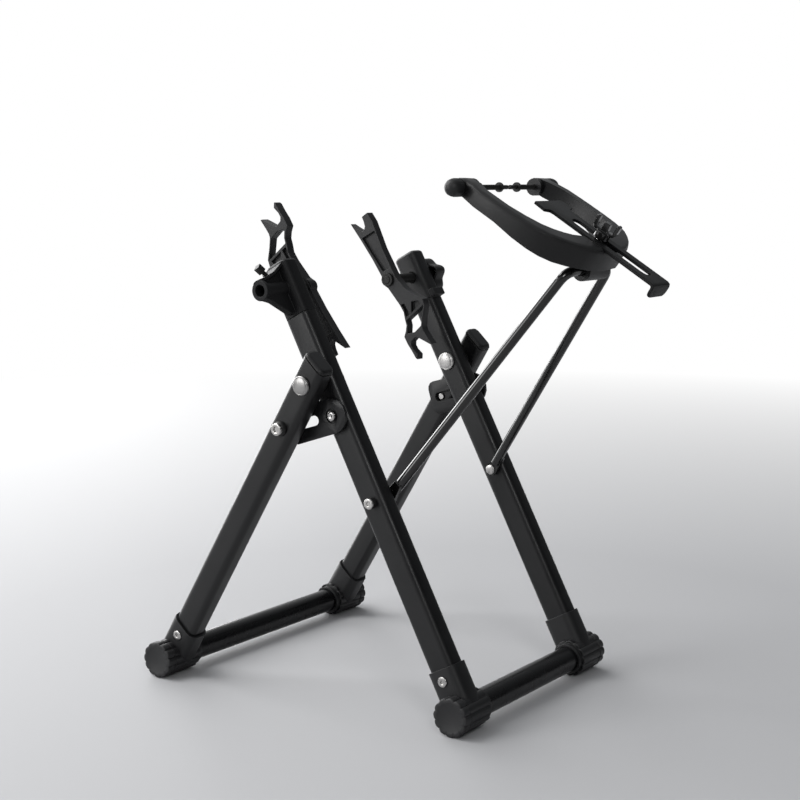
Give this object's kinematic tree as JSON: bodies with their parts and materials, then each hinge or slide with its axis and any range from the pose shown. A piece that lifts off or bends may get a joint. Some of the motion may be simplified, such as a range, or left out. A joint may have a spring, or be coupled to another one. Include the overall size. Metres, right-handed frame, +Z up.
{
  "type": "wheel truing stand",
  "caption": "Folding wheel truing stand: hinged tube-leg frames, double-ended fork plates on spindles and a swinging arm with a U-shaped rim gauge and slotted radial slider.",
  "frame": {"origin": "middle of the overall box, on the floor", "axes": "+X from the short rear legs toward the long front legs' feet, +Y along the wheel's axle from the near side to the side with the star knob, +Z up"},
  "size_m": [0.6142, 0.41, 0.6292],
  "materials": {
    "black_powder_coat": "satin black powder coat",
    "gloss_black": "gloss black",
    "charcoal_plastic": "fine matt texture",
    "foot_rubber": "matt",
    "black_nylon": "smooth matt",
    "zinc_plated_steel": "bright zinc plating",
    "dark_steel": "dark satin steel"
  },
  "bodies": {
    "front_frame": {"front_leg_near": "black_powder_coat", "front_leg_far": "black_powder_coat", "front_cross_tube": "black_powder_coat", "front_socket_near": "charcoal_plastic", "front_socket_far": "charcoal_plastic", "front_foot_cap_near": "foot_rubber", "front_foot_cap_far": "foot_rubber", "front_socket_screw_near": "zinc_plated_steel", "front_socket_screw_far": "zinc_plated_steel", "hinge_bolt_near": "zinc_plated_steel", "hinge_bolt_far": "zinc_plated_steel", "hinge_nut_near": "zinc_plated_steel", "hinge_nut_far": "zinc_plated_steel", "hinge_bush_near": "black_nylon", "hinge_bush_far": "black_nylon", "stay_pin_near": "zinc_plated_steel", "stay_pin_far": "zinc_plated_steel", "arm_pivot_bolt_near": "zinc_plated_steel", "arm_pivot_bolt_far": "zinc_plated_steel", "arm_pivot_collar_near": "charcoal_plastic", "arm_pivot_collar_far": "charcoal_plastic", "holder_head_near": "charcoal_plastic", "holder_head_far": "charcoal_plastic", "pinch_screw_near": "dark_steel"},
    "rear_frame": {"rear_leg_near": "black_powder_coat", "rear_leg_far": "black_powder_coat", "rear_cross_tube": "black_powder_coat", "rear_socket_near": "charcoal_plastic", "rear_socket_far": "charcoal_plastic", "rear_foot_cap_near": "foot_rubber", "rear_foot_cap_far": "foot_rubber", "rear_socket_screw_near": "zinc_plated_steel", "rear_socket_screw_far": "zinc_plated_steel", "rear_leg_end_cap_near": "charcoal_plastic", "rear_leg_end_cap_far": "charcoal_plastic", "stop_bolt_near": "zinc_plated_steel", "stop_bolt_far": "zinc_plated_steel", "stop_bolt_collar_near": "charcoal_plastic", "stop_bolt_collar_far": "charcoal_plastic"},
    "stay_near": {"folding_stay_near": "black_powder_coat"},
    "stay_far": {"folding_stay_far": "black_powder_coat"},
    "near_holder": {"spindle_near": "dark_steel", "plate_retainer_near": "dark_steel"},
    "near_plate": {"dropout_plate_near": "charcoal_plastic"},
    "far_carriage": {"thrust_washer_far": "dark_steel"},
    "far_spindle": {"spindle_far": "dark_steel", "spindle_knob_far": "charcoal_plastic", "plate_retainer_far": "dark_steel"},
    "far_plate": {"dropout_plate_far": "charcoal_plastic"},
    "gauge_arm": {"gauge_arm_rod": "gloss_black"},
    "yoke": {"gauge_yoke": "charcoal_plastic", "slider_clamp_bolt": "zinc_plated_steel"},
    "near_feeler": {"feeler_screw_near": "zinc_plated_steel"},
    "near_feeler_grip": {"feeler_knob_near": "charcoal_plastic"},
    "far_feeler": {"feeler_screw_far": "zinc_plated_steel"},
    "far_feeler_grip": {"feeler_knob_far": "charcoal_plastic"},
    "slider": {"radial_slider": "dark_steel"},
    "wing": {"wing_knob": "gloss_black"}
  },
  "joints": [
    {"name": "rear_frame_fold", "type": "hinge", "parent": "front_frame", "child": "rear_frame", "pos_m": [-0.0601, 0, 0.39], "axis": [0, -1, 0], "range_deg": [0, 52]},
    {"name": "stay_near_swing", "type": "hinge", "parent": "front_frame", "child": "stay_near", "pos_m": [-0.03998, -0.1505, 0.35233], "axis": [0, -1, 0], "range_deg": [0, 78.6]},
    {"name": "stay_far_swing", "type": "hinge", "parent": "front_frame", "child": "stay_far", "pos_m": [-0.03998, 0.1505, 0.35233], "axis": [0, -1, 0], "range_deg": [0, 78.6]},
    {"name": "near_holder_slide", "type": "slide", "parent": "front_frame", "child": "near_holder", "axis": [0, 1, 0], "range_m": [-0.012, 0.03]},
    {"name": "near_plate_flip", "type": "hinge", "parent": "near_holder", "child": "near_plate", "pos_m": [-0.11781, -0.1, 0.49806], "axis": [0, -1, 0], "range_deg": [0, 180]},
    {"name": "far_carriage_slide", "type": "slide", "parent": "front_frame", "child": "far_carriage", "axis": [0, 1, 0], "range_m": [-0.0015, 0.022]},
    {"name": "far_spindle_turn", "type": "hinge", "parent": "far_carriage", "child": "far_spindle", "pos_m": [-0.11781, 0.15, 0.49806], "axis": [0, 1, 0], "range_deg": [-181, 2641]},
    {"name": "far_plate_flip", "type": "hinge", "parent": "far_carriage", "child": "far_plate", "pos_m": [-0.11781, 0.072, 0.49806], "axis": [0, -1, 0], "range_deg": [0, 180]},
    {"name": "gauge_arm_swing", "type": "hinge", "parent": "front_frame", "child": "gauge_arm", "pos_m": [0.0149, 0, 0.254], "axis": [0, -1, 0], "range_deg": [-60, 12]},
    {"name": "yoke_tilt", "type": "hinge", "parent": "gauge_arm", "child": "yoke", "pos_m": [0.21382, 0, 0.52479], "axis": [0, -1, 0], "range_deg": [-25, 30]},
    {"name": "near_feeler_slide", "type": "slide", "parent": "yoke", "child": "near_feeler", "axis": [0, -1, 0], "range_m": [0, 0.024]},
    {"name": "near_feeler_turn", "type": "hinge", "parent": "near_feeler", "child": "near_feeler_grip", "pos_m": [0.10026, -0.108, 0.61834], "axis": [0, -1, 0], "range_deg": [0, 2161]},
    {"name": "far_feeler_slide", "type": "slide", "parent": "yoke", "child": "far_feeler", "axis": [0, 1, 0], "range_m": [0, 0.024]},
    {"name": "far_feeler_turn", "type": "hinge", "parent": "far_feeler", "child": "far_feeler_grip", "pos_m": [0.10026, 0.108, 0.61834], "axis": [0, 1, 0], "range_deg": [0, 2161]},
    {"name": "slider_slide", "type": "slide", "parent": "yoke", "child": "slider", "axis": [0.8517, 0, -0.524], "range_m": [-0.062, 0.036]},
    {"name": "wing_knob_turn", "type": "hinge", "parent": "yoke", "child": "wing", "pos_m": [0.23309, 0, 0.56791], "axis": [0.524, 0, 0.8517], "range_deg": [0, 360]}
  ],
  "couplings": [
    {"joint": "stay_near_swing", "follows": "rear_frame_fold", "ratio": 1.51},
    {"joint": "stay_far_swing", "follows": "rear_frame_fold", "ratio": 1.51},
    {"joint": "far_spindle_turn", "follows": "far_carriage_slide", "rad_per_m": 2094.4},
    {"joint": "near_feeler_turn", "follows": "near_feeler_slide", "rad_per_m": 1570.8},
    {"joint": "far_feeler_turn", "follows": "far_feeler_slide", "rad_per_m": 1570.8}
  ]
}
